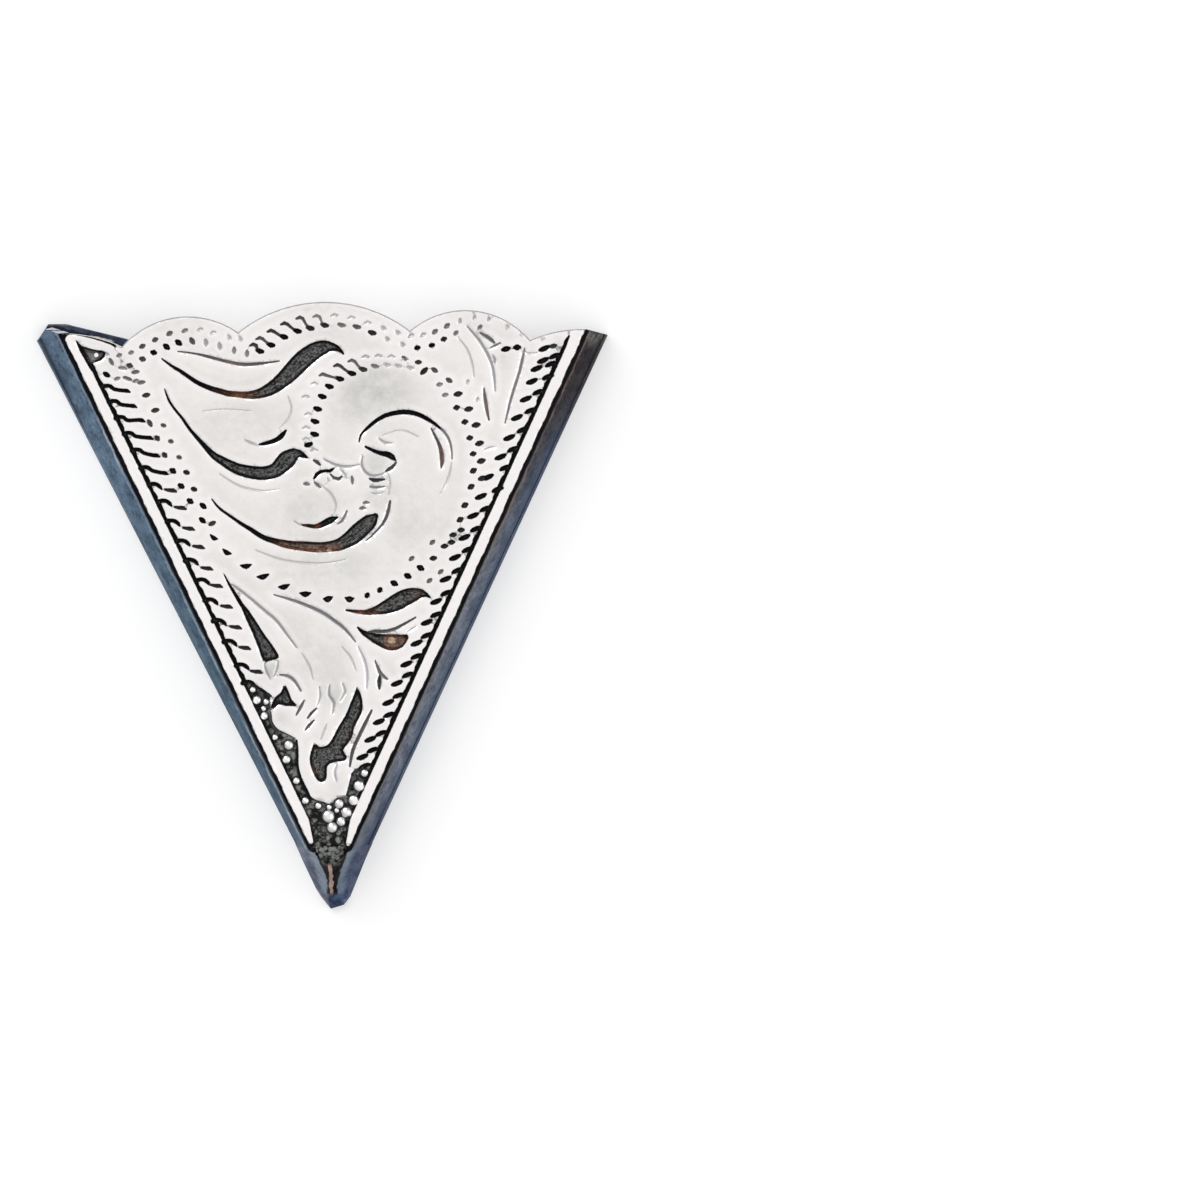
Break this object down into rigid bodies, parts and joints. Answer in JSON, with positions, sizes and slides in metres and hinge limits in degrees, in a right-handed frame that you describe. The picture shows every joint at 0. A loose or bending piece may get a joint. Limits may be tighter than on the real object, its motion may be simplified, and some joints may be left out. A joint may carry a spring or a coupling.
{
  "type": "collar tip",
  "caption": "Engraved silver-coloured metal collar tip: a scalloped triangular face folded back into a flat pocket for a shirt collar's point.",
  "frame": {"origin": "middle of the outline's box, in the plane of the back lips that it rests on", "axes": "+Z out of the engraved face, +Y along the middle line from the point to the scalloped top, +X to the right seen from the front"},
  "size_m": [0.0358, 0.0384, 0.0034],
  "materials": {
    "silver": "bright polished and hand engraved, with blackened cuts and darkened walls",
    "screw": "plain steel"
  },
  "bodies": {
    "root": {"shell": "silver", "set_screw": "screw"}
  },
  "joints": []
}
